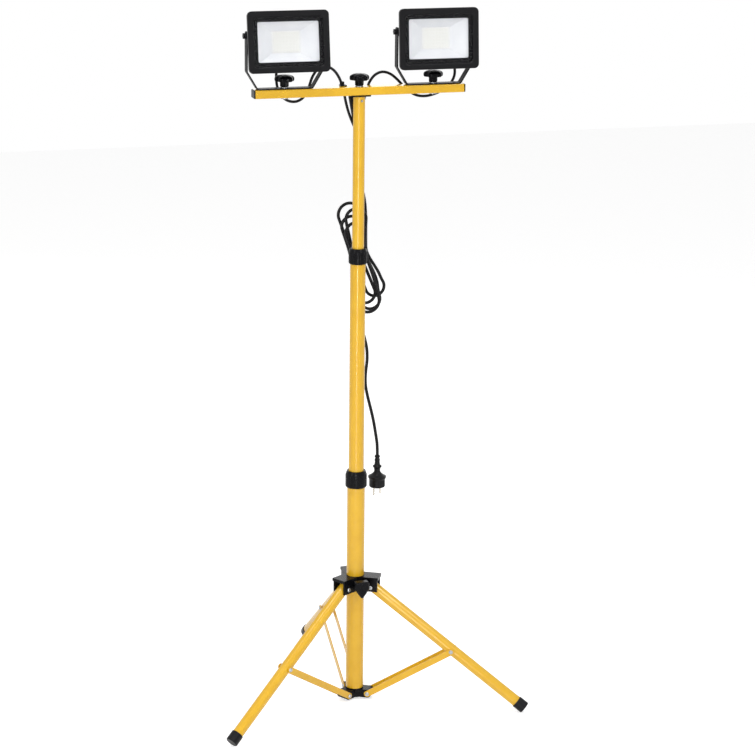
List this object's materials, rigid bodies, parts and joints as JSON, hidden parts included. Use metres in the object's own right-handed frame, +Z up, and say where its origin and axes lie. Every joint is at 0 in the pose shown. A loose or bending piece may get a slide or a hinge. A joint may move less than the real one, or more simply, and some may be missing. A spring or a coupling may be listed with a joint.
{
  "type": "tripod work light",
  "caption": "Twin LED floodlight on a telescopic tripod: folding legs, twist-lock mast, swivel crossbar, tilting lamps in yokes, and a mains cable hung in a hank with its plug.",
  "frame": {"origin": "on the floor, on the mast's axis, with the legs open", "axes": "+Z up the mast, +X along the crossbar, lamps face -Y"},
  "size_m": [0.7006, 0.6222, 1.5747],
  "materials": {
    "yellow_paint": "glossy yellow powder coat",
    "charcoal_paint": "fine-textured charcoal powder coat on die-cast aluminium",
    "black_steel": "satin black paint",
    "black_plastic": "black moulded nylon, light sheen",
    "black_rubber": "black rubber cable jacket",
    "zinc_steel": "bright zinc plated",
    "clear_glass": "clear toughened glass with a black printed border",
    "white_reflector": "white satin reflector",
    "led_array": "white circuit board with small light-emitting chips",
    "nickel_pins": "nickel plated"
  },
  "bodies": {
    "base": {"lower_tube": "yellow_paint", "lower_hub": "black_plastic", "lower_hub_rivets": "zinc_steel", "lower_collet": "black_plastic"},
    "lower_clamp": {"lower_clamp_nut": "black_plastic"},
    "mast_middle": {"middle_tube": "yellow_paint", "middle_bush": "black_plastic", "upper_collet": "black_plastic", "main_cable": "black_rubber", "cable_hank": "black_rubber", "cable_tail": "black_rubber", "cable_strap": "black_rubber", "plug_body": "black_rubber", "plug_pins": "nickel_pins"},
    "upper_clamp": {"upper_clamp_nut": "black_plastic"},
    "mast_top": {"top_tube": "yellow_paint", "top_bush": "black_plastic", "mast_head": "black_plastic", "mast_head_screw": "zinc_steel"},
    "crossbar": {"crossbar_tube": "yellow_paint", "crossbar_end_caps": "black_plastic", "bar_bolts": "zinc_steel", "cable_junction": "black_rubber", "cable_clip": "black_plastic", "left_lead": "black_rubber", "right_lead": "black_rubber"},
    "centre_hand_knob": {"centre_knob": "black_plastic"},
    "hub": {"slide_hub": "black_plastic", "hub_rivets": "zinc_steel"},
    "lock": {"lock_knob": "black_plastic"},
    "left_yoke": {"left_bracket": "black_steel"},
    "left_hand_knob": {"left_knob": "black_plastic"},
    "left_lamp": {"left_housing": "charcoal_paint", "left_bezel": "charcoal_paint", "left_glass": "clear_glass", "left_reflector": "white_reflector", "left_led_board": "led_array", "left_pivot_bolts": "black_steel", "left_gland": "black_plastic"},
    "right_yoke": {"right_bracket": "black_steel"},
    "right_hand_knob": {"right_knob": "black_plastic"},
    "right_lamp": {"right_housing": "charcoal_paint", "right_bezel": "charcoal_paint", "right_glass": "clear_glass", "right_reflector": "white_reflector", "right_led_board": "led_array", "right_pivot_bolts": "black_steel", "right_gland": "black_plastic"},
    "rear_leg_body": {"rear_leg": "yellow_paint", "rear_leg_cap": "black_rubber"},
    "rear_strut_body": {"rear_strut": "yellow_paint", "rear_strut_rivets": "zinc_steel"},
    "left_leg_body": {"left_leg": "yellow_paint", "left_leg_cap": "black_rubber"},
    "left_strut_body": {"left_strut": "yellow_paint", "left_strut_rivets": "zinc_steel"},
    "right_leg_body": {"right_leg": "yellow_paint", "right_leg_cap": "black_rubber"},
    "right_strut_body": {"right_strut": "yellow_paint", "right_strut_rivets": "zinc_steel"}
  },
  "joints": [
    {"name": "lower_clamp_turn", "type": "hinge", "parent": "base", "child": "lower_clamp", "pos_m": [0, 0, 0.524], "axis": [0, 0, 1], "range_deg": [0, 120]},
    {"name": "middle_slide", "type": "slide", "parent": "base", "child": "mast_middle", "axis": [0, 0, 1], "range_m": [-0.36, 0]},
    {"name": "upper_clamp_turn", "type": "hinge", "parent": "mast_middle", "child": "upper_clamp", "pos_m": [0, 0, 1.033], "axis": [0, 0, 1], "range_deg": [0, 120]},
    {"name": "top_slide", "type": "slide", "parent": "mast_middle", "child": "mast_top", "axis": [0, 0, 1], "range_m": [-0.22, 0], "deforming": ["main_cable"]},
    {"name": "crossbar_swivel", "type": "hinge", "parent": "mast_top", "child": "crossbar", "pos_m": [0, 0, 1.3865], "axis": [0, 0, 1], "range_deg": [-90, 90], "deforming": ["main_cable"]},
    {"name": "centre_knob_turn", "type": "hinge", "parent": "crossbar", "child": "centre_hand_knob", "pos_m": [0, 0, 1.4125], "axis": [0, 0, 1], "continuous": true},
    {"name": "left_bracket_pan", "type": "hinge", "parent": "crossbar", "child": "left_yoke", "pos_m": [-0.165, 0, 1.4057], "axis": [0, 0, 1], "range_deg": [-60, 30], "deforming": ["left_lead"]},
    {"name": "left_knob_turn", "type": "hinge", "parent": "crossbar", "child": "left_hand_knob", "pos_m": [-0.165, 0, 1.4145], "axis": [0, 0, 1], "continuous": true},
    {"name": "left_lamp_tilt", "type": "hinge", "parent": "left_yoke", "child": "left_lamp", "pos_m": [-0.165, 0, 1.519], "axis": [1, 0, 0], "range_deg": [-51, 20], "deforming": ["left_lead"]},
    {"name": "right_bracket_pan", "type": "hinge", "parent": "crossbar", "child": "right_yoke", "pos_m": [0.165, 0, 1.4057], "axis": [0, 0, 1], "range_deg": [-30, 60], "deforming": ["right_lead"]},
    {"name": "right_knob_turn", "type": "hinge", "parent": "crossbar", "child": "right_hand_knob", "pos_m": [0.165, 0, 1.4145], "axis": [0, 0, 1], "continuous": true},
    {"name": "right_lamp_tilt", "type": "hinge", "parent": "right_yoke", "child": "right_lamp", "pos_m": [0.165, 0, 1.519], "axis": [1, 0, 0], "range_deg": [-55, 16], "deforming": ["right_lead"]},
    {"name": "hub_slide", "type": "slide", "parent": "base", "child": "hub", "axis": [0, 0, 1], "range_m": [0, 0.20102]},
    {"name": "lock_knob_turn", "type": "hinge", "parent": "hub", "child": "lock", "pos_m": [0.00157, -0.04497, 0.27739], "axis": [0.0349, -0.9994, 0], "continuous": true},
    {"name": "rear_leg_fold", "type": "hinge", "parent": "hub", "child": "rear_leg_body", "pos_m": [-0.00135, 0.03878, 0.27239], "axis": [-0.9994, -0.0349, 0], "range_deg": [0, 53.6]},
    {"name": "rear_strut_fold", "type": "hinge", "parent": "base", "child": "rear_strut_body", "pos_m": [-0.00115, 0.03298, 0.0145], "axis": [0.9994, 0.0349, 0], "range_deg": [0, 56.56]},
    {"name": "left_leg_fold", "type": "hinge", "parent": "hub", "child": "left_leg_body", "pos_m": [-0.0329, -0.02056, 0.27239], "axis": [0.5299, -0.848, 0], "range_deg": [0, 53.6]},
    {"name": "left_strut_fold", "type": "hinge", "parent": "base", "child": "left_strut_body", "pos_m": [-0.02799, -0.01749, 0.0145], "axis": [-0.5299, 0.848, 0], "range_deg": [0, 56.56]},
    {"name": "right_leg_fold", "type": "hinge", "parent": "hub", "child": "right_leg_body", "pos_m": [0.03426, -0.01821, 0.27239], "axis": [0.4695, 0.8829, 0], "range_deg": [0, 53.6]},
    {"name": "right_strut_fold", "type": "hinge", "parent": "base", "child": "right_strut_body", "pos_m": [0.02914, -0.01549, 0.0145], "axis": [-0.4695, -0.8829, 0], "range_deg": [0, 56.56]}
  ],
  "couplings": [
    {"joint": "rear_leg_fold", "follows": "hub_slide", "rad_per_m": 4.6537},
    {"joint": "rear_strut_fold", "follows": "hub_slide", "rad_per_m": 4.9104},
    {"joint": "left_leg_fold", "follows": "hub_slide", "rad_per_m": 4.6537},
    {"joint": "left_strut_fold", "follows": "hub_slide", "rad_per_m": 4.9104},
    {"joint": "right_leg_fold", "follows": "hub_slide", "rad_per_m": 4.6537},
    {"joint": "right_strut_fold", "follows": "hub_slide", "rad_per_m": 4.9104}
  ]
}
